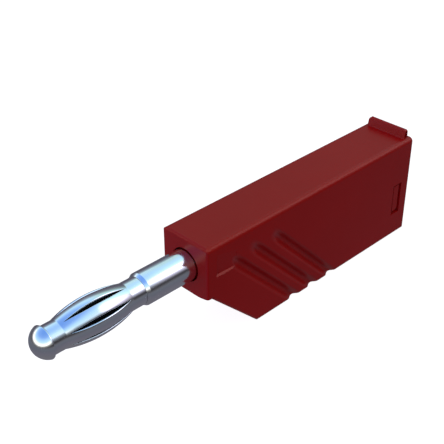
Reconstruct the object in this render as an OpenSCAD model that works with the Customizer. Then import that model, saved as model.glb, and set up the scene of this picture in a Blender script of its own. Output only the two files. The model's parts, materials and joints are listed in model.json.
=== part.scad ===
// Banana plug, 4 mm lantern type, with a deep flat moulded body.
// Frame: origin on the pin axis at the front face of the nose, +X forwards
// along the pin, +Z up. Millimetres. The plug stands on its bottom face.

/* [Housing] */
// Length of the housing behind the front face
body_l = 39.6; // [36:0.1:44]
// Width of the housing across its flat sides
body_w = 7.5; // [7.5:0.1:9]
// Height of the top face above the pin axis
top_z = 3.65; // [3.6:0.05:4.2]
// Depth of the bottom face below the pin axis
deck_z = 11; // [11:0.1:12.5]
// Half height of the square nose below the pin axis
nose_z = 3.71; // [3.6:0.01:3.8]
// Length of the level underside of the nose
nose_l = 1.01; // [0.9:0.01:1.2]
// Distance from the front face to the foot of the chin
chin_l = 8.65; // [8.2:0.05:9.2]
// Thickness of the side, top and bottom walls
wall = 0.9; // [0.8:0.05:1]
// Thickness of the nose wall
nose_wall = 1.4; // [1.2:0.1:1.8]
// Radius of the hole in the nose
nose_hole_r = 2.18; // [2.06:0.02:2.2]
// Radius of the two long top edges
top_edge_r = 0.7; // [0.4:0.05:0.8]
// Radius of the upper front edge
brow_r = 0.4; // [0.2:0.05:0.5]
// Radius of the upright front edges
front_edge_r = 0.3; // [0.15:0.01:0.35]
// Radius of the bottom and chin edges
edge_r = 0.4; // [0.2:0.05:0.5]
// Radius of the edges around the rear end
rear_edge_r = 0.65; // [0.3:0.05:0.65]
// Radius of the two side edges under the nose
nose_edge_r = 0.6; // [0.2:0.05:0.6]
// Radius of the crown that lifts the lower front edge towards its ends
crown_r = 16; // [14:1:24]

/* [Grips] */
// Number of slanting finger grooves on each side
groove_n = 3; // [1:1:3]
// Spacing of the grooves along the body
groove_pitch = 3.7; // [3.5:0.05:3.8]
// Width of the gentle front flank of a groove
groove_front = 1.15; // [0.9:0.05:1.2]
// Width of the rear flank of a groove
groove_rear = 0.95; // [0.9:0.05:1.1]
// Depth of a groove
groove_d = 0.68; // [0.4:0.01:0.68]
// Length over which a groove runs out at its upper end
groove_out = 3.2; // [2:0.1:3.6]
// Height of the finger lip above the top face
lip_h = 1.2; // [0.9:0.02:1.4]
// Thickness of the finger lip
lip_t = 0.6; // [0.5:0.05:0.7]
// Width of the finger lip
lip_w = 6.15; // [5:0.05:6.4]

/* [Carrier] */
// Depth of the rear recess that the carrier fills
seat_l = 6.2; // [5.8:0.1:7]
// Gap around the carrier inside the housing
slide_gap = 0.05; // [0.04:0.01:0.08]
// Radius of the cable hole
cable_r = 1.9; // [1.7:0.05:1.9]
// Height of the cable axis below the pin axis
cable_z = 5.4; // [5.3:0.05:5.5]

/* [Contact] */
// Radius of the plain sleeve of the pin
sleeve_r = 2; // [1.95:0.01:2]
// Length of the plain sleeve in front of the nose
sleeve_l = 7.2; // [7:0.1:7.2]
// Radius of the shank and rear tube
shank_r = 2.4; // [2.36:0.01:2.4]
// Radius of the rear 4 mm socket
socket_r = 2.02; // [2.01:0.01:2.05]
// Depth of the rear socket
socket_l = 18.9; // [18:0.1:19]

/* [Lantern] */
// Radius of the plain bands of the lantern spring
band_r = 1.72; // [1.68:0.01:1.74]
// Largest radius of the bulge
bulge_r = 2.41; // [2.3:0.01:2.45]
// Thickness of the spring sheet
sheet_t = 0.2; // [0.16:0.01:0.2]
// Number of slots
slot_n = 8; // [6:1:9]
// Width of a slot at its middle
slot_w = 0.44; // [0.3:0.01:0.5]
// Angle of the first slot about the pin axis
slot_a = 26; // [0:1:44]
// Radius of the round nose of the pin
head_r = 2.06; // [2.02:0.01:2.1]
// Distance from the front face to the tip of the round nose
tip_x = 21.3; // [21.2:0.05:21.4]
// Distance from the front face to the shoulder behind the round nose
head_x = 19.65; // [19.6:0.05:19.7]

/* [Terminal] */
// Radius of the wire hole
wire_r = 1.4; // [1.2:0.05:1.4]
// Radius of the clamp screw at the root of its thread
screw_r = 1.2; // [1.15:0.01:1.2]
// Distance from the front face to the clamp screw
screw_x = 13; // [12.5:0.1:13.5]

/* [Hidden] */
$fn = 96;

red = [0.42, 0.06, 0.06];
nickel = [0.80, 0.82, 0.85];
brass = [0.78, 0.62, 0.30];
steel = [0.62, 0.64, 0.66];

half_w = body_w / 2;
in_w = half_w - wall - 0.1;            // half width of the cavity
seat_w = half_w - 0.7;                 // half width of the rear recess
seat_x = -body_l + seat_l;             // shoulder the carrier stops on
chin_a = atan2(deck_z - nose_z, chin_l - nose_l);
chin_in = wall / cos(chin_a);          // chin wall measured along z
floor_z = -deck_z + wall;
win_x0 = -body_l + 1.95;               // latch window
win_x1 = -body_l + 3.75;
win_z0 = -7.45;
win_z1 = -2.75;

// Points of a polygon with each corner rounded to its own radius
function unit(v) = v / norm(v);
function wrap(a) = a > 180 ? a - 360 : a < -180 ? a + 360 : a;
function corner(p0, p1, p2, r, n) = r <= 0 ? [p1] :
    let (u = unit(p0 - p1), v = unit(p2 - p1), a = acos(u * v),
         c = p1 + unit(u + v) * r / sin(a / 2),
         s = p1 + u * r / tan(a / 2), e = p1 + v * r / tan(a / 2),
         a0 = atan2(s.y - c.y, s.x - c.x),
         da = wrap(atan2(e.y - c.y, e.x - c.x) - a0))
    [for (i = [0:n]) c + r * [cos(a0 + da * i / n), sin(a0 + da * i / n)]];
function rounded(p, r, n = 10) = [for (i = [0:len(p) - 1])
    each corner(p[(i + len(p) - 1) % len(p)], p[i], p[(i + 1) % len(p)], r[i], n)];

// Extrusions along X (section drawn in y, z) and along Y (profile in x, z)
module along_x(x0, x1) translate([x0, 0, 0]) rotate([90, 0, 90])
    linear_extrude(x1 - x0) children();
module along_y(w) translate([0, w / 2, 0]) rotate([90, 0, 0])
    linear_extrude(w) children();
module lathe() rotate([0, 90, 0]) rotate_extrude() children();
module rod(x0, x1, r) translate([x0, 0, 0]) rotate([0, 90, 0]) cylinder(h = x1 - x0, r = r);
module block(x0, x1, w, z0, z1) translate([x0, -w / 2, z0]) cube([x1 - x0, w, z1 - z0]);

// Outer form: side profile, cross section and plan, each with its own edges,
// and ball corners where the top edges meet the rear end
module outer_form() difference() {
    edged_form();
    r = max(top_edge_r, rear_edge_r);
    each_side() translate([-body_l + r, half_w - r, top_z - r]) difference() {
        translate([-2, 0, 0]) cube(2);
        sphere(r = r + 0.02);
    }
}

module edged_form() intersection() {
    along_y(body_w + 2) polygon(rounded(
        [[0, top_z], [-body_l, top_z], [-body_l, -deck_z], [-chin_l, -deck_z],
         [-nose_l, -nose_z], [0, -nose_z]],
        [brow_r, rear_edge_r, rear_edge_r, edge_r, 0.25, 0.25]));
    along_x(-body_l - 1, 1) polygon(rounded(
        [[-half_w, -deck_z], [half_w, -deck_z], [half_w, top_z], [-half_w, top_z]],
        [edge_r, edge_r, top_edge_r, top_edge_r]));
    translate([0, 0, -deck_z - 1]) linear_extrude(deck_z + top_z + 2) polygon(rounded(
        [[-body_l, -half_w], [0, -half_w], [0, half_w], [-body_l, half_w]],
        [rear_edge_r, front_edge_r, front_edge_r, rear_edge_r]));
}

// One flank of a groove, w wide, from the middle of its hollow over its soft
// edge; the outer face is at y = 0
function flank(w, n = 10) = concat(
    [for (i = [1:n]) let (a = 172 * i / n)
        [w * a / 180, 0.006 - (groove_d + 0.006) * (1 + cos(a)) / 2]],
    [[w * 172 / 180 + 0.2 * w / ((groove_d + 0.006) * PI * sin(172)), 0.1]]);

// Slanting groove of one depth that runs out over the bottom edge and grows
// ever shallower at its upper end
module groove(c, z) translate([c + z, half_w, z]) rotate([0, -135, 0]) {
    f = flank(groove_front);
    r = flank(groove_rear);
    m = len(f);
    section = concat([for (i = [m - 1:-1:0]) [-f[i].x, f[i].y]], [[0, -groove_d]], r,
                     [[r[m - 1].x, 1.2], [-f[m - 1].x, 1.2]]);
    linear_extrude((deck_z + z) * sqrt(2) + 1.5) polygon(section);
    run_out(section);
}

module run_out(section, k = 8) {
    m = len(section);
    rows = [for (j = [0:k]) let (f = 0.02 + 0.49 * (1 + cos(180 * j / k)))
        [for (p = section) [p.x, p.y > 1 ? p.y : p.y * f, j == 0 ? 0.02 : -groove_out * j / k]]];
    polyhedron(points = [for (r = rows) each r], faces = concat(
        [[for (i = [m - 1:-1:0]) i]], [[for (i = [0:m - 1]) k * m + i]],
        [for (j = [0:k - 1], i = [0:m - 1]) let (n = (i + 1) % m)
            each [[j * m + i, j * m + n, (j + 1) * m + n],
                  [j * m + i, (j + 1) * m + n, (j + 1) * m + i]]]));
}

// Short notch above the chin: a steep ledge with a very gentle slope over it
module ledge() translate([-1.45, half_w, -0.7]) rotate([0, -1.8, 0]) rotate([0, 0, -0.8])
    along_x(-3.2, 0) polygon([[-0.22, 0.22], [0.5, -0.5], [0.3, 6.8]]);

// Crown under the front of the nose: takes nothing off at its middle and at
// its rear end, and most off at the two lower front corners
module crown_cut() difference() {
    block(-nose_l + 0.03, 1, body_w + 2, -nose_z - 1, -nose_z + 1);
    translate([0, 0, crown_r / cos(17.5) - nose_z - 0.01]) rotate([0, 90 - 17.5, 0])
        translate([0, 0, -30]) cylinder(h = 60, r = crown_r);
}

// Rounded edge of radius r along +X from the origin, on the edge y = z = 0
module edge_cut(l, r) rotate([90, 0, 90]) linear_extrude(l) difference() {
    translate([-r, -r]) square([r + 0.2, r + 0.2]);
    translate([-r, -r]) circle(r = r);
}

// Edges between the side face and the chin and nose undersides
module chin_edge() translate([-nose_l, half_w, -nose_z]) {
    rotate([0, 180 - chin_a, 0]) edge_cut(norm([chin_l - nose_l, deck_z - nose_z]), edge_r);
    translate([-0.05, 0, 0]) mirror([0, 0, 1]) edge_cut(nose_l + 0.3, nose_edge_r);
}

module each_side() { children(); mirror([0, 1, 0]) children(); }

// Thin finger lip across the top: sloping front with a small round at its root,
// upright rear, round crest, and a blind pocket in each end
lip_x = -body_l + 0.88;                // rear face of the lip
module finger_lip() difference() {
    intersection() {
        along_y(lip_w) polygon(concat(
            [[lip_x, top_z - 0.3], [lip_x + lip_t + 0.42, top_z - 0.3]],
            corner([lip_x + lip_t + 1.2, top_z], [lip_x + lip_t + 0.22, top_z],
                   [lip_x + lip_t - 0.1, top_z + lip_h], 0.16, 5),
            corner([lip_x + lip_t + 0.22, top_z], [lip_x + lip_t - 0.1, top_z + lip_h],
                   [lip_x, top_z + lip_h], 0.2, 6),
            corner([lip_x + lip_t, top_z + lip_h], [lip_x, top_z + lip_h], [lip_x, top_z], 0.2, 6)));
        along_x(lip_x - 1, lip_x + 3) polygon(rounded(
            [[-lip_w / 2, top_z - 1], [lip_w / 2, top_z - 1],
             [lip_w / 2, top_z + lip_h], [-lip_w / 2, top_z + lip_h]], [0, 0, 0.4, 0.4]));
    }
    each_side() translate([0, lip_w / 2 + 0.3, 0]) rotate([90, 0, 0]) linear_extrude(2.6) polygon(
        [[lip_x + 0.1, top_z + 0.05], [lip_x + lip_t + 0.09, top_z + 0.05],
         [lip_x + lip_t - 0.17, top_z + lip_h - 0.2], [lip_x + 0.1, top_z + lip_h - 0.2]]);
}

module housing() color(red) difference() {
    union() { outer_form(); finger_lip(); }
    // cavity for the contact and the cable
    along_y(2 * in_w) polygon([
        [-nose_wall, top_z - wall], [-nose_wall, -nose_z + chin_in - (nose_wall - nose_l) * tan(chin_a)],
        [-chin_l - wall * tan((90 - chin_a) / 2) , floor_z], [seat_x - 0.1, floor_z],
        [seat_x - 0.1, top_z - wall]]);
    // wider rear recess that seats the carrier
    block(-body_l - 1, seat_x, 2 * seat_w, -deck_z + 0.7, top_z - 0.7);
    rod(-nose_wall - 1, 1, nose_hole_r);
    each_side() {
        for (i = [0:groove_n - 1]) groove(-4.76 - i * groove_pitch, [-1.15, -0.85, -0.95][i]);
        ledge();
        chin_edge();
    }
    crown_cut();
    block(win_x0, win_x1, body_w + 2, win_z0, win_z1);
}

car_w = 2 * (seat_w - slide_gap);
car_z0 = -deck_z + 0.7 + slide_gap;
car_z1 = top_z - 0.7 - slide_gap;
car_x0 = -body_l + 0.3;
car_x1 = seat_x - slide_gap;
tube_end = car_x0 + 2.7;               // rear end of the contact's tube

// Latch in a window of the housing: a pad that fills it part of the way, and
// a tongue just under the outer face with a gap all round
module latch_step(y, x0, x1, z0, z1, r) translate([0, car_w / 2 - 0.2, 0]) mirror([0, 1, 0])
    rotate([90, 0, 0]) linear_extrude(y - car_w / 2 + 0.2) polygon(rounded(
        [[x0, z0], [x1, z0], [x1, z1], [x0, z1]], [r, 0.1, 0.1, 0.1], 6));
module latch() {
    latch_step(half_w - 0.42, win_x0 + 0.06, win_x1 - 0.06, win_z0 + 0.06, win_z1 - 0.06, 0.1);
    latch_step(half_w - 0.1, win_x0 + 0.42, win_x1 - 0.28, win_z0 + 0.5, win_z1 - 0.22, 0.4);
}

module carrier() color(red) union() {
    each_side() latch();
    carrier_body();
}

module carrier_body() difference() {
    intersection() {
        along_x(car_x0, car_x1) polygon(rounded(
            [[-car_w / 2, car_z0], [car_w / 2, car_z0], [car_w / 2, car_z1], [-car_w / 2, car_z1]],
            [0.25, 0.25, 0.25, 0.25], 3));
        along_y(car_w + 1) polygon(rounded(
            [[car_x0, car_z0], [car_x1, car_z0], [car_x1, car_z1], [car_x0, car_z1]],
            [0.2, 0, 0, 0.2], 3));
    }
    // socket opening, seat of the contact's tube, cable hole with its flare
    rod(car_x0 - 1, tube_end, 2.3);
    rod(tube_end - 0.05, car_x1 + 1, shank_r + 0.01);
    translate([0, 0, -cable_z]) {
        rod(car_x0 - 1, car_x1 + 1, cable_r);
        translate([car_x0 - 0.01, 0, 0]) rotate([0, 90, 0])
            cylinder(h = 0.5, r1 = cable_r + 0.5, r2 = cable_r);
    }
    translate([car_x0 - 0.01, 0, 0]) rotate([0, 90, 0]) cylinder(h = 0.35, r1 = 2.65, r2 = 2.3);
}

module contact_stem() color(nickel) lathe() polygon([
    [socket_r, tube_end + 0.25], [socket_r + 0.2, tube_end + 0.05], [shank_r, tube_end + 0.05],
    [shank_r, -3.2], [2.65, -3.2], [2.65, -nose_wall - 0.05],
    [sleeve_r, -nose_wall - 0.05], [sleeve_r, sleeve_l - 0.25], [sleeve_r - 0.25, sleeve_l],
    [1.21, sleeve_l], [1.21, 2.2], [0, 2.2],
    [0, tube_end + socket_l], [socket_r, tube_end + socket_l]]);

blk_x0 = -screw_x - 4;
blk_x1 = -screw_x + 4;
blk_z0 = -9.4;

module terminal_block() color(brass) difference() {
    union() {
        along_x(blk_x0, blk_x1) polygon(rounded(
            [[-2.65, blk_z0], [2.65, blk_z0], [2.65, 0], [-2.65, 0]], [0.4, 0.4, 0, 0], 4));
        rod(blk_x0, blk_x1, 2.65);
    }
    rod(blk_x0 - 1, blk_x1 + 1, shank_r + 0.005);
    translate([0, 0, -cable_z]) {
        rod(blk_x0 - 1, blk_x1 + 1, wire_r);
        translate([blk_x0 - 0.01, 0, 0]) rotate([0, 90, 0])
            cylinder(h = 0.4, r1 = wire_r + 0.4, r2 = wire_r);
    }
    translate([-screw_x, 0, blk_z0 - 1]) cylinder(h = -cable_z - blk_z0 + 1, r = screw_r + 0.05);
}

// Rod with a round nose whose rear rim is slightly rounded
rim_r = 0.15;
cap_x = tip_x - head_r;                // middle of the round nose
rim_u = sqrt(pow(head_r - rim_r, 2) - pow(head_x + rim_r - cap_x, 2));
module pin_core() color(nickel) union() {
    rod(2.25, sleeve_l + 0.01, 1.2);
    rod(sleeve_l + 0.01, head_x + 0.05, 1.46);
    lathe() difference() {
        union() {
            intersection() {
                translate([0, cap_x]) circle(r = head_r);
                translate([0, head_x]) square([3, 3]);
            }
        }
        // rim: everything outside the rounding of the rear edge
        difference() {
            translate([rim_u, head_x - 1]) square([2, 1 + rim_r + 0.04]);
            translate([rim_u, head_x + rim_r]) circle(r = rim_r);
        }
    }
}

// Lantern: a band, a bulge on one arc, a band, with lens-shaped slots
bulge_x = 13.5;
bulge_l = 9;
bulge_R = (pow(bulge_l / 2, 2) + pow(bulge_r - band_r, 2)) / (2 * (bulge_r - band_r));
slot_l = 8.2;
lens_R = (pow(slot_l / 2, 2) + pow(slot_w / 2, 2)) / slot_w;

module lantern_spring() color(nickel) difference() {
    lathe() union() {
        translate([band_r - sheet_t, sleeve_l + 0.06]) square([sheet_t, bulge_x - bulge_l / 2 - sleeve_l - 0.06]);
        intersection() {
            difference() {
                translate([bulge_r - bulge_R, bulge_x]) circle(r = bulge_R, $fn = 720);
                translate([bulge_r - bulge_R, bulge_x]) circle(r = bulge_R - sheet_t, $fn = 720);
            }
            translate([1, bulge_x - bulge_l / 2]) square([3, bulge_l]);
        }
        translate([band_r - sheet_t, bulge_x + bulge_l / 2]) square([sheet_t, head_x - 0.05 - bulge_x - bulge_l / 2]);
    }
    for (i = [0:slot_n - 1]) rotate([slot_a + i * 360 / slot_n, 0, 0])
        translate([bulge_x, 1.3, 0]) rotate([-90, 0, 0]) linear_extrude(2) intersection() {
            translate([0, lens_R - slot_w / 2]) circle(r = lens_R, $fn = 720);
            translate([0, slot_w / 2 - lens_R]) circle(r = lens_R, $fn = 720);
        }
}

scr_z0 = -9.8;
scr_z1 = -7.3;
module clamp_screw() color(steel) translate([-screw_x, 0, 0]) difference() {
    union() {
        translate([0, 0, scr_z0 + 0.25]) cylinder(h = scr_z1 - scr_z0 - 0.25, r = screw_r);
        translate([0, 0, scr_z0]) cylinder(h = 0.25, r1 = screw_r - 0.25, r2 = screw_r);
    }
    translate([-2, -0.25, scr_z0 - 0.5]) cube([4, 0.5, 1.3]);
}

module pressure_plate() color(steel) translate([-screw_x, 0, 0]) union() {
    translate([0, 0, scr_z1 + 0.01]) cylinder(h = 0.3, r = screw_r - 0.02);
    translate([0, 0, scr_z1 + 0.31]) cylinder(h = 0.14, r1 = screw_r - 0.02, r2 = screw_r - 0.16);
}

housing();
carrier();
contact_stem();
terminal_block();
pin_core();
lantern_spring();
clamp_screw();
pressure_plate();
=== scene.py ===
"""Looks of the lantern plug: materials, floor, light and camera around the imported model."""

import json
import math

import bmesh
import bpy
from mathutils import Matrix, Vector


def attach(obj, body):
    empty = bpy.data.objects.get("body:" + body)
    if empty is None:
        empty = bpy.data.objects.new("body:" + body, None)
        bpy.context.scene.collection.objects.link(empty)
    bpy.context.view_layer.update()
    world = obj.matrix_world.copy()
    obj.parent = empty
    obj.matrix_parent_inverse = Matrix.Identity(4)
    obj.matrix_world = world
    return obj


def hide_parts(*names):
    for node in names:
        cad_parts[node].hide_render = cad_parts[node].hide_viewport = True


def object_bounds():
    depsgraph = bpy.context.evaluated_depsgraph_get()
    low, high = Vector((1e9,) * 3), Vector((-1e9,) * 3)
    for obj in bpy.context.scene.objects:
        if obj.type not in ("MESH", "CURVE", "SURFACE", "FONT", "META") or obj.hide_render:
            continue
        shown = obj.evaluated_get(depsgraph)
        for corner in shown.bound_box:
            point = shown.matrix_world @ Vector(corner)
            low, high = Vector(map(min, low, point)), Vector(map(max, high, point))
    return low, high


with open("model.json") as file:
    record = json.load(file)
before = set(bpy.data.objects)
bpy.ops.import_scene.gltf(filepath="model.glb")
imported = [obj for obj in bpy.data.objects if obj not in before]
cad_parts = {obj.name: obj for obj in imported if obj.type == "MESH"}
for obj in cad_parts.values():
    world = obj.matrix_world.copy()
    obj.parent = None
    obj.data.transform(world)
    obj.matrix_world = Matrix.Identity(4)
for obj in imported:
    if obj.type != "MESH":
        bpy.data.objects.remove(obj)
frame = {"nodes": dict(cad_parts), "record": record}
cad_lo, cad_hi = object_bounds()
nodes = frame["nodes"]


# ---------------------------------------------------------------- node helpers

def new_material(name):
    mat = bpy.data.materials.new(name)
    mat.use_nodes = True
    nt = mat.node_tree
    nt.nodes.clear()
    out = nt.nodes.new("ShaderNodeOutputMaterial")
    bsdf = nt.nodes.new("ShaderNodeBsdfPrincipled")
    nt.links.new(bsdf.outputs["BSDF"], out.inputs["Surface"])
    return mat, nt, bsdf


def add(nt, kind, **values):
    node = nt.nodes.new(kind)
    for key, value in values.items():
        if key.startswith("in_"):
            node.inputs[key[3:]].default_value = value
        else:
            setattr(node, key, value)
    return node


def noise(nt, vector, scale, detail=2.0, roughness=0.5):
    node = add(nt, "ShaderNodeTexNoise", noise_dimensions="3D")
    node.inputs["Scale"].default_value = scale
    node.inputs["Detail"].default_value = detail
    node.inputs["Roughness"].default_value = roughness
    nt.links.new(vector, node.inputs["Vector"])
    return node.outputs["Fac"]


def ramp(nt, fac, stops):
    node = nt.nodes.new("ShaderNodeValToRGB")
    els = node.color_ramp.elements
    while len(els) < len(stops):
        els.new(0.5)
    for el, (pos, col) in zip(els, stops):
        el.position = pos
        el.color = (col[0], col[1], col[2], 1.0)
    nt.links.new(fac, node.inputs["Fac"])
    return node.outputs["Color"]


def spread(nt, fac, lo, hi):
    node = add(nt, "ShaderNodeMapRange", clamp=True)
    node.inputs["From Min"].default_value = 0.25
    node.inputs["From Max"].default_value = 0.75
    node.inputs["To Min"].default_value = lo
    node.inputs["To Max"].default_value = hi
    nt.links.new(fac, node.inputs["Value"])
    return node.outputs["Result"]


def bump(nt, height, strength, distance, normal=None):
    node = nt.nodes.new("ShaderNodeBump")
    node.inputs["Strength"].default_value = strength
    node.inputs["Distance"].default_value = distance
    nt.links.new(height, node.inputs["Height"])
    if normal is not None:
        nt.links.new(normal, node.inputs["Normal"])
    return node.outputs["Normal"]


def object_coords(nt):
    return nt.nodes.new("ShaderNodeTexCoord").outputs["Object"]


def math_node(nt, op, a, b=None, clamp=False):
    node = add(nt, "ShaderNodeMath", operation=op, use_clamp=clamp)
    for socket, value in zip(node.inputs, (a, b)):
        if value is None:
            continue
        if isinstance(value, (int, float)):
            socket.default_value = value
        else:
            nt.links.new(value, socket)
    return node.outputs["Value"]


def map_range(nt, value, f0, f1, t0=0.0, t1=1.0, smooth=False):
    node = add(nt, "ShaderNodeMapRange", clamp=True, interpolation_type="SMOOTHSTEP" if smooth else "LINEAR")
    for key, v in (("From Min", f0), ("From Max", f1), ("To Min", t0), ("To Max", t1)):
        node.inputs[key].default_value = v
    nt.links.new(value, node.inputs["Value"])
    return node.outputs["Result"]


def mix_colour(nt, fac, a, b):
    node = add(nt, "ShaderNodeMix", data_type="RGBA", clamp_factor=True)
    nt.links.new(fac, node.inputs[0])
    for socket, value in ((node.inputs[6], a), (node.inputs[7], b)):
        if isinstance(value, tuple):
            socket.default_value = (value[0], value[1], value[2], 1.0)
        else:
            nt.links.new(value, socket)
    return node.outputs[2]


# ------------------------------------------------------------------- materials

def red_plastic():
    """Satin moulded polyamide: deep red, faint flow mottling and a fine spark-eroded grain."""
    mat, nt, bsdf = new_material("red_moulded_plastic")
    co = object_coords(nt)
    cloud = noise(nt, co, 90.0, 3.0)
    colour = ramp(nt, cloud, [(0.30, (0.286, 0.0016, 0.0018)), (0.70, (0.314, 0.0022, 0.0024))])
    nt.links.new(colour, bsdf.inputs["Base Color"])
    fine = noise(nt, co, 5200.0, 2.0)
    broad = noise(nt, co, 420.0, 2.0)
    nt.links.new(spread(nt, broad, 0.29, 0.35), bsdf.inputs["Roughness"])
    bsdf.inputs["Specular IOR Level"].default_value = 0.22
    bsdf.inputs["Specular Tint"].default_value = (1.0, 0.95, 0.72, 1.0)
    nt.links.new(bump(nt, fine, 0.10, 0.00004), bsdf.inputs["Normal"])
    return mat


def nickel(name="bright_nickel", inside=None, finish=(0.09, 0.13)):
    """Bright nickel plate over turned brass: faint turning rings round the pin axis; an optional mask paints shade in
    as near black, with a rougher finish.
    """
    mat, nt, bsdf = new_material(name)
    co = object_coords(nt)
    cloud = noise(nt, co, 300.0, 3.0)
    colour = ramp(nt, cloud, [(0.30, (0.73, 0.745, 0.775)), (0.70, (0.78, 0.79, 0.815))])
    rough = spread(nt, noise(nt, co, 900.0, 2.0), *finish)
    # painted shade: where the mask is 1 the nickel colour turns near black to stand in for shade, and the roughness
    # rises
    if inside is not None:
        painted_shade_mask = inside(nt, co)
        colour = mix_colour(nt, painted_shade_mask, colour, ramp(nt, cloud, [(0.30, (0.012, 0.013, 0.015)), (0.70, (0.02, 0.021, 0.024))]))
        rough = math_node(nt, "ADD", rough, math_node(nt, "MULTIPLY", painted_shade_mask, 0.45))
    nt.links.new(colour, bsdf.inputs["Base Color"])
    bsdf.inputs["Metallic"].default_value = 1.0
    nt.links.new(rough, bsdf.inputs["Roughness"])
    stretch = add(nt, "ShaderNodeMapping")
    stretch.inputs["Scale"].default_value = (9000.0, 60.0, 60.0)
    nt.links.new(co, stretch.inputs["Vector"])
    rings = noise(nt, stretch.outputs["Vector"], 1.0, 2.0)
    nt.links.new(bump(nt, rings, 0.05, 0.00001), bsdf.inputs["Normal"])
    return mat


def rod_shade_mask(nt, co):
    """Painted shade mask: 1 on the rod inside the basket, painted near black for the shade seen through the slots; 0
    on the round nose.
    """
    sep = nt.nodes.new("ShaderNodeSeparateXYZ")
    nt.links.new(co, sep.inputs["Vector"])
    return map_range(nt, sep.outputs["X"], 0.01968, 0.01962)


def basket_inner_shade_mask(nt, co):
    """Painted shade mask: 1 on the faces of the basket that look at the pin axis, painted near black for the shade
    inside the basket; 0 on the outer faces and cut edges.
    """
    radial = nt.nodes.new("ShaderNodeVectorMath")
    radial.operation = "MULTIPLY"
    radial.inputs[1].default_value = (0.0, 1.0, 1.0)
    nt.links.new(co, radial.inputs[0])
    unit = nt.nodes.new("ShaderNodeVectorMath")
    unit.operation = "NORMALIZE"
    nt.links.new(radial.outputs["Vector"], unit.inputs[0])
    dot = nt.nodes.new("ShaderNodeVectorMath")
    dot.operation = "DOT_PRODUCT"
    nt.links.new(unit.outputs["Vector"], dot.inputs[0])
    nt.links.new(nt.nodes.new("ShaderNodeTexCoord").outputs["Normal"], dot.inputs[1])
    return map_range(nt, dot.outputs["Value"], -0.2, -0.5)


def brass():
    """Sawn and drilled brass."""
    mat, nt, bsdf = new_material("machined_brass")
    co = object_coords(nt)
    cloud = noise(nt, co, 260.0, 4.0)
    colour = ramp(nt, cloud, [(0.30, (0.56, 0.37, 0.115)), (0.70, (0.66, 0.46, 0.16))])
    nt.links.new(colour, bsdf.inputs["Base Color"])
    bsdf.inputs["Metallic"].default_value = 1.0
    nt.links.new(spread(nt, noise(nt, co, 1400.0, 2.0), 0.20, 0.34), bsdf.inputs["Roughness"])
    stretch = add(nt, "ShaderNodeMapping")
    stretch.inputs["Scale"].default_value = (7000.0, 7000.0, 90.0)
    nt.links.new(co, stretch.inputs["Vector"])
    lines = noise(nt, stretch.outputs["Vector"], 1.0, 2.0)
    nt.links.new(bump(nt, lines, 0.12, 0.00001), bsdf.inputs["Normal"])
    return mat


def steel():
    """Zinc-plated steel with turning marks round the screw axis."""
    mat, nt, bsdf = new_material("zinc_plated_steel")
    co = object_coords(nt)
    cloud = noise(nt, co, 500.0, 3.0)
    colour = ramp(nt, cloud, [(0.30, (0.45, 0.47, 0.50)), (0.70, (0.56, 0.57, 0.58))])
    nt.links.new(colour, bsdf.inputs["Base Color"])
    bsdf.inputs["Metallic"].default_value = 1.0
    nt.links.new(spread(nt, noise(nt, co, 1800.0, 2.0), 0.22, 0.36), bsdf.inputs["Roughness"])
    stretch = add(nt, "ShaderNodeMapping")
    stretch.inputs["Scale"].default_value = (80.0, 80.0, 9000.0)
    nt.links.new(co, stretch.inputs["Vector"])
    lines = noise(nt, stretch.outputs["Vector"], 1.0, 2.0)
    nt.links.new(bump(nt, lines, 0.10, 0.00001), bsdf.inputs["Normal"])
    return mat


MATS = {"red_plastic": red_plastic(), "nickel": nickel(finish=(0.13, 0.17)), "brass": brass(), "steel": steel()}
SLOT_OF = {s["node"]: s["material_slot"] for s in frame["record"]["subparts"]}

# painted shade: the rod inside the basket and the basket's inner faces are painted near black in place of the shade
# there
MATS["pin_core"] = nickel("nickel_head_painted_shade_rod", rod_shade_mask)
MATS["lantern_spring"] = nickel("nickel_painted_shade_inside", basket_inner_shade_mask)

for name, obj in nodes.items():
    mat = MATS.get(name) or MATS[SLOT_OF[name]]
    if not obj.material_slots:
        obj.data.materials.append(mat)
    for slot in obj.material_slots:
        slot.material = mat


# ---------------------------------------------------------------- turned pieces

def finish_mesh(name, verts, faces, mat, body, node):
    """One piece in metres from points in millimetres, smooth with crisp edges."""
    mesh = bpy.data.meshes.new(name)
    mesh.from_pydata([(x / 1000, y / 1000, z / 1000) for x, y, z in verts], [], faces)
    bm = bmesh.new()
    bm.from_mesh(mesh)
    bmesh.ops.remove_doubles(bm, verts=bm.verts, dist=1e-8)
    bmesh.ops.dissolve_degenerate(bm, edges=bm.edges, dist=1e-8)
    bmesh.ops.recalc_face_normals(bm, faces=bm.faces)
    bm.to_mesh(mesh)
    bm.free()
    for poly in mesh.polygons:
        poly.use_smooth = True
    mesh.set_sharp_from_angle(angle=math.radians(28))
    mesh.materials.append(mat)
    obj = bpy.data.objects.new(name, mesh)
    bpy.context.scene.collection.objects.link(obj)
    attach(obj, body)
    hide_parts(node)
    return obj


def ring(profile, seg, verts, faces):
    """Closed section of (radius, x) points turned round the pin axis."""
    base = len(verts)
    n = len(profile)
    for j in range(seg):
        a = 2 * math.pi * j / seg
        for r, x in profile:
            verts.append((x, r * math.cos(a), r * math.sin(a)))
    for j in range(seg):
        k = (j + 1) % seg
        for i in range(n):
            m = (i + 1) % n
            quad = [base + j * n + i, base + j * n + m, base + k * n + m, base + k * n + i]
            if profile[i][0] == 0 and profile[m][0] == 0:
                continue
            if profile[i][0] == 0:
                quad = quad[:3]
            elif profile[m][0] == 0:
                quad = [quad[0], quad[1], quad[3]]
            faces.append(quad)


def arc(cr, cx, rad, a0, a1, n):
    """Points of an arc about (cr, cx), angles in degrees from the radial direction to +X."""
    return [(cr + rad * math.cos(math.radians(a0 + (a1 - a0) * i / n)),
             cx + rad * math.sin(math.radians(a0 + (a1 - a0) * i / n))) for i in range(n + 1)]


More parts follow.
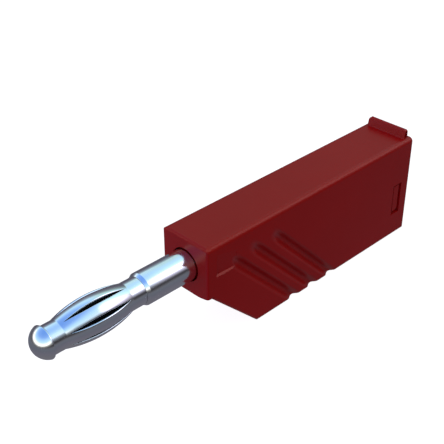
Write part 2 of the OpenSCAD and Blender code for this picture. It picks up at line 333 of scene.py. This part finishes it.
def contact_stem():
    """Sleeve with a chamfered front edge, flange, shank and rear socket tube."""
    tube = -36.6
    section = [(2.02, tube + 0.25), (2.22, tube + 0.05), (2.35, tube + 0.05)]
    section += arc(2.35, tube + 0.10, 0.05, -90, 0, 4)[1:] + [(2.40, -20.0), (2.40, -3.20), (2.60, -3.20)]
    section += arc(2.60, -3.15, 0.05, -90, 0, 4)[1:] + [(2.65, -1.45), (2.0, -1.45), (2.0, 1.0), (2.0, 4.0)]
    section += arc(1.96, 6.765, 0.04, 0, 30, 4) + arc(1.7377, 7.17, 0.03, 30, 90, 6)
    section += [(1.21, 7.20), (1.21, 2.20), (0.0, 2.20), (0.0, tube + 18.9), (2.02, tube + 18.9)]
    verts, faces = [], []
    ring(section, 224, verts, faces)
    return finish_mesh("contact_stem_turned", verts, faces, MATS["nickel"], "insert", "contact_stem")


def pin_core():
    """Rod through the basket with a polished round nose."""
    section = [(0.0, 2.25), (1.15, 2.25), (1.20, 2.30), (1.20, 7.21), (1.46, 7.21), (1.46, 19.65), (1.826, 19.65)]
    section += arc(1.826, 19.80, 0.15, -90, 17.05, 10)[1:]
    section += arc(0.0, 19.24, 2.06, 17.05, 90, 60)[1:-1] + [(0.0, 21.30)]
    verts, faces = [], []
    ring(section, 224, verts, faces)
    return finish_mesh("pin_core_turned", verts, faces, MATS["pin_core"], "insert", "pin_core")


def lantern_basket():
    """Bulged basket: two plain bands and eight sprung strips with rolled edges."""
    mid, half_l, bulge, band, sheet = 13.5, 4.5, 2.41, 1.72, 0.20
    big = (half_l ** 2 + (bulge - band) ** 2) / (2 * (bulge - band))
    slots, first, width, length = 8, 26.0, 0.44, 8.2
    lens = ((length / 2) ** 2 + (width / 2) ** 2) / width

    def outer(x):
        return bulge - big + math.sqrt(big ** 2 - (x - mid) ** 2) if abs(x - mid) < half_l else band

    def gap(x):
        return max(0.0, math.sqrt(lens ** 2 - (x - mid) ** 2) - lens + width / 2)

    verts, faces = [], []
    lo, hi = mid - length / 2, mid + length / 2
    for x0, x1, inner in ((7.23, lo, mid - half_l), (hi, 19.60, mid + half_l)):
        xs = sorted({x0, x1, inner} | {x0 + (x1 - x0) * i / 16 for i in range(17)})
        ring([(outer(x), x) for x in xs] + [(outer(x) - sheet, x) for x in reversed(xs)], 224, verts, faces)

    steps, along, edge, back = 96, 20, 6, 3
    for k in range(slots):
        rows = []
        for i in range(steps + 1):
            x = lo + (hi - lo) * (0.5 - 0.5 * math.cos(math.pi * i / steps))
            w, ro = gap(x), outer(x)
            ri = ro - sheet
            e, e2 = min(0.14, 0.8 * w), min(0.03, 0.2 * w)
            qc, qi = math.sqrt((ro - e) ** 2 - (w + e) ** 2), math.sqrt((ri + e2) ** 2 - (w + e2) ** 2)
            po, pi = math.atan2(w + e, qc), math.atan2(w + e2, qi)
            side = []
            for j in range(back + 1):          # inner edge, from the inner face to the slot wall
                b = math.radians(180) + pi + (math.radians(90) - pi) * j / back
                side.append((w + e2 + e2 * math.sin(b), qi + e2 * math.cos(b)))
            for j in range(edge + 1):          # outer edge, from the slot wall to the outer face
                b = -math.radians(90) + (po + math.radians(90)) * j / edge
                side.append((w + e + e * math.sin(b), qc + e * math.cos(b)))
            pitch = 2 * math.pi / slots
            loop = []
            for t, q in side:
                loop.append((math.hypot(t, q), math.atan2(t, q)))
            loop += [(ro, po + (pitch - 2 * po) * j / along) for j in range(1, along)]
            loop += [(math.hypot(t, q), pitch - math.atan2(t, q)) for t, q in reversed(side)]
            loop += [(ri, pitch - pi - (pitch - 2 * pi) * j / along) for j in range(1, along)]
            start = math.radians(first) + k * pitch
            rows.append([(x, r * math.cos(start + a), r * math.sin(start + a)) for r, a in loop])
        base, n = len(verts), len(rows[0])
        for row in rows:
            verts += row
        for i in range(steps):
            for j in range(n):
                m = (j + 1) % n
                faces.append([base + i * n + j, base + i * n + m, base + (i + 1) * n + m, base + (i + 1) * n + j])
        faces.append([base + j for j in range(n)])
        faces.append([base + steps * n + j for j in range(n)])
    return finish_mesh("lantern_basket", verts, faces, MATS["lantern_spring"], "lantern", "lantern_spring")


contact_stem()
pin_core()
lantern_basket()


# ----------------------------------------------------------------------- stage

def floor():
    z = cad_lo.z - 0.00001
    half = 6.0
    mesh = bpy.data.meshes.new("floor")
    mesh.from_pydata([(-half, -half, z), (half, -half, z), (half, half, z), (-half, half, z)], [], [(0, 1, 2, 3)])
    obj = bpy.data.objects.new("floor", mesh)
    bpy.context.scene.collection.objects.link(obj)
    mat = bpy.data.materials.new("pale_floor")
    mat.use_nodes = True
    nt = mat.node_tree
    bsdf = nt.nodes["Principled BSDF"]
    bsdf.inputs["Base Color"].default_value = (0.30, 0.30, 0.30, 1.0)
    bsdf.inputs["Roughness"].default_value = 0.9
    bsdf.inputs["Specular IOR Level"].default_value = 0.0
    bsdf.inputs["Emission Color"].default_value = (1.0, 1.0, 1.0, 1.0)
    bsdf.inputs["Emission Strength"].default_value = 0.93
    mesh.materials.append(mat)
    obj.visible_glossy = False
    obj.visible_diffuse = False
    return obj


floor()


def sky():
    """Soft daylight studio: an even dome for the fill, an open sky over a low horizon for the gloss."""
    world = bpy.data.worlds.new("studio")
    bpy.context.scene.world = world
    world.use_nodes = True
    nt = world.node_tree
    nt.nodes.clear()
    out = nt.nodes.new("ShaderNodeOutputWorld")
    path = nt.nodes.new("ShaderNodeLightPath")
    co = nt.nodes.new("ShaderNodeTexCoord").outputs["Generated"]
    sep = nt.nodes.new("ShaderNodeSeparateXYZ")
    nt.links.new(co, sep.inputs["Vector"])
    x, y, z = (sep.outputs[k] for k in "XYZ")

    # fill: soft slope of light from above, the front and the near side, strongest
    # over the near top edge and cooler in front
    def times(a, b):
        return math_node(nt, "MULTIPLY", a, b)

    level = 0.335
    for term, k in ((z, 0.42), (x, 0.31), (y, 0.04), (times(y, z), 0.35), (times(x, y), -0.25), (times(x, z), -0.60)):
        level = math_node(nt, "ADD", level, times(term, k))
    level = math_node(nt, "MAXIMUM", level, 0.02)
    ahead = math_node(nt, "MAXIMUM", x, 0.0)
    cool = math_node(nt, "ADD", times(level, 0.97), times(math_node(nt, "POWER", ahead, 3.0), 1.6))
    tint = add(nt, "ShaderNodeCombineColor")
    for key, value in (("Red", level), ("Green", level), ("Blue", cool)):
        nt.links.new(value, tint.inputs[key])
    fill = tint.outputs["Color"]

    # gloss: horizon in degrees, low in front, higher behind and to the far side
    el = math_node(nt, "MULTIPLY", math_node(nt, "ARCSINE", z), 57.29578)
    far = math_node(nt, "MULTIPLY", math_node(nt, "MAXIMUM", math_node(nt, "MULTIPLY", x, -1.0), 0.0),
                    math_node(nt, "MAXIMUM", math_node(nt, "MULTIPLY", y, -1.0), 0.0))
    behind = math_node(nt, "POWER", math_node(nt, "MAXIMUM", math_node(nt, "MULTIPLY", x, -1.0), 0.0), 4.0)
    horizon = math_node(nt, "ADD",
                        math_node(nt, "SUBTRACT", 27.0, math_node(nt, "MULTIPLY", math_node(nt, "POWER", ahead, 0.8), 30.0)),
                        math_node(nt, "SUBTRACT", math_node(nt, "MULTIPLY", far, 14.0),
                                  math_node(nt, "MULTIPLY", behind, 15.0)))
    over = math_node(nt, "SUBTRACT", el, horizon)

    # sky: deep blue overhead and in front, pale lower down, white on the near side behind
    blue = math_node(nt, "ADD", math_node(nt, "MULTIPLY", x, 0.25), math_node(nt, "ADD",
                     math_node(nt, "MULTIPLY", y, -0.10), math_node(nt, "MULTIPLY", z, 0.963)))
    high = ramp(nt, map_range(nt, blue, 0.30, 1.0), [
        (0.00, (0.95, 1.20, 1.40)), (0.47, (0.66, 1.04, 1.28)), (0.64, (0.50, 0.82, 1.28)),
        (0.81, (0.30, 0.56, 1.16)), (1.00, (0.21, 0.45, 1.08)),
    ])
    rear = ramp(nt, map_range(nt, y, -0.5, 0.7), [
        (0.00, (0.64, 0.92, 0.88)), (0.275, (0.65, 1.04, 1.28)), (0.467, (0.80, 1.24, 1.36)),
        (0.567, (0.95, 1.38, 1.42)), (0.667, (1.50, 1.60, 1.70)), (0.79, (3.40, 3.20, 3.90)),
        (1.00, (3.90, 3.70, 4.60)),
    ])
    above = mix_colour(nt, map_range(nt, x, -0.40, -0.58, smooth=True), high, rear)
    glow = math_node(nt, "MULTIPLY", map_range(nt, over, 24.0, 6.0, smooth=True), map_range(nt, x, 0.0, 0.4))
    above = mix_colour(nt, glow, above, (1.70, 1.68, 1.55))

    # ground: dark just under the horizon, mid grey lower down
    below = ramp(nt, map_range(nt, el, -70.0, 5.0), [
        (0.0, (0.18, 0.175, 0.20)), (23 / 75, (0.17, 0.165, 0.205)), (38 / 75, (0.155, 0.158, 0.195)),
        (50 / 75, (0.155, 0.17, 0.205)), (56 / 75, (0.165, 0.17, 0.20)), (62 / 75, (0.135, 0.135, 0.15)),
        (66 / 75, (0.095, 0.095, 0.105)), (70 / 75, (0.062, 0.06, 0.068)), (1.0, (0.055, 0.05, 0.055)),
    ])
    shade = math_node(nt, "MULTIPLY", map_range(nt, y, -0.15, -0.6), map_range(nt, el, -10.0, 5.0))
    below = mix_colour(nt, shade, below, (0.13, 0.12, 0.16))
    sharp = math_node(nt, "MULTIPLY", over, math_node(nt, "ADD", 1.0, math_node(nt, "MULTIPLY", ahead, 1.5)))
    rise = ramp(nt, map_range(nt, sharp, -22.0, 10.0), [
        (0.0, (0.0, 0.0, 0.0)), (6 / 32, (0.03, 0.03, 0.03)), (12.5 / 32, (0.12, 0.12, 0.12)),
        (19 / 32, (0.24, 0.24, 0.24)), (25 / 32, (0.52, 0.52, 0.52)), (30.5 / 32, (1.0, 1.0, 1.0)),
        (1.0, (1.0, 1.0, 1.0)),
    ])
    gloss = mix_colour(nt, rise, below, above)

    light = nt.nodes.new("ShaderNodeBackground")
    nt.links.new(mix_colour(nt, path.outputs["Is Glossy Ray"], fill, gloss), light.inputs["Color"])
    plain = nt.nodes.new("ShaderNodeBackground")
    plain.inputs["Color"].default_value = (1.0, 1.0, 1.0, 1.0)
    mix = nt.nodes.new("ShaderNodeMixShader")
    nt.links.new(path.outputs["Is Camera Ray"], mix.inputs["Fac"])
    nt.links.new(light.outputs["Background"], mix.inputs[1])
    nt.links.new(plain.outputs["Background"], mix.inputs[2])
    nt.links.new(mix.outputs["Shader"], out.inputs["Surface"])
    world.cycles.sampling_method = "NONE"


sky()

scene = bpy.context.scene
scene.view_settings.view_transform = "Standard"
scene.view_settings.look = "None"
scene.view_settings.exposure = 0.0
scene.view_settings.gamma = 1.0

# ---------------------------------------------------------------------- camera

cam_data = bpy.data.cameras.new("camera")
cam = bpy.data.objects.new("camera", cam_data)
scene.collection.objects.link(cam)
cam_data.sensor_fit = "HORIZONTAL"
cam_data.sensor_width = 36.0
cam_data.lens = 73.81
cam_data.clip_start = 0.002
cam_data.clip_end = 50.0
right = Vector((-0.709520, 0.704685, 0.000331))
up = Vector((-0.377924, -0.380913, 0.843848))
back = right.cross(up).normalized()
up = back.cross(right.normalized())
right = right.normalized()
rot = Matrix((right, up, back)).transposed().to_4x4()
cam.matrix_world = Matrix.Translation((0.0578416, 0.0642857, 0.0607486)) @ rot
scene.camera = cam

bpy.context.view_layer.update()
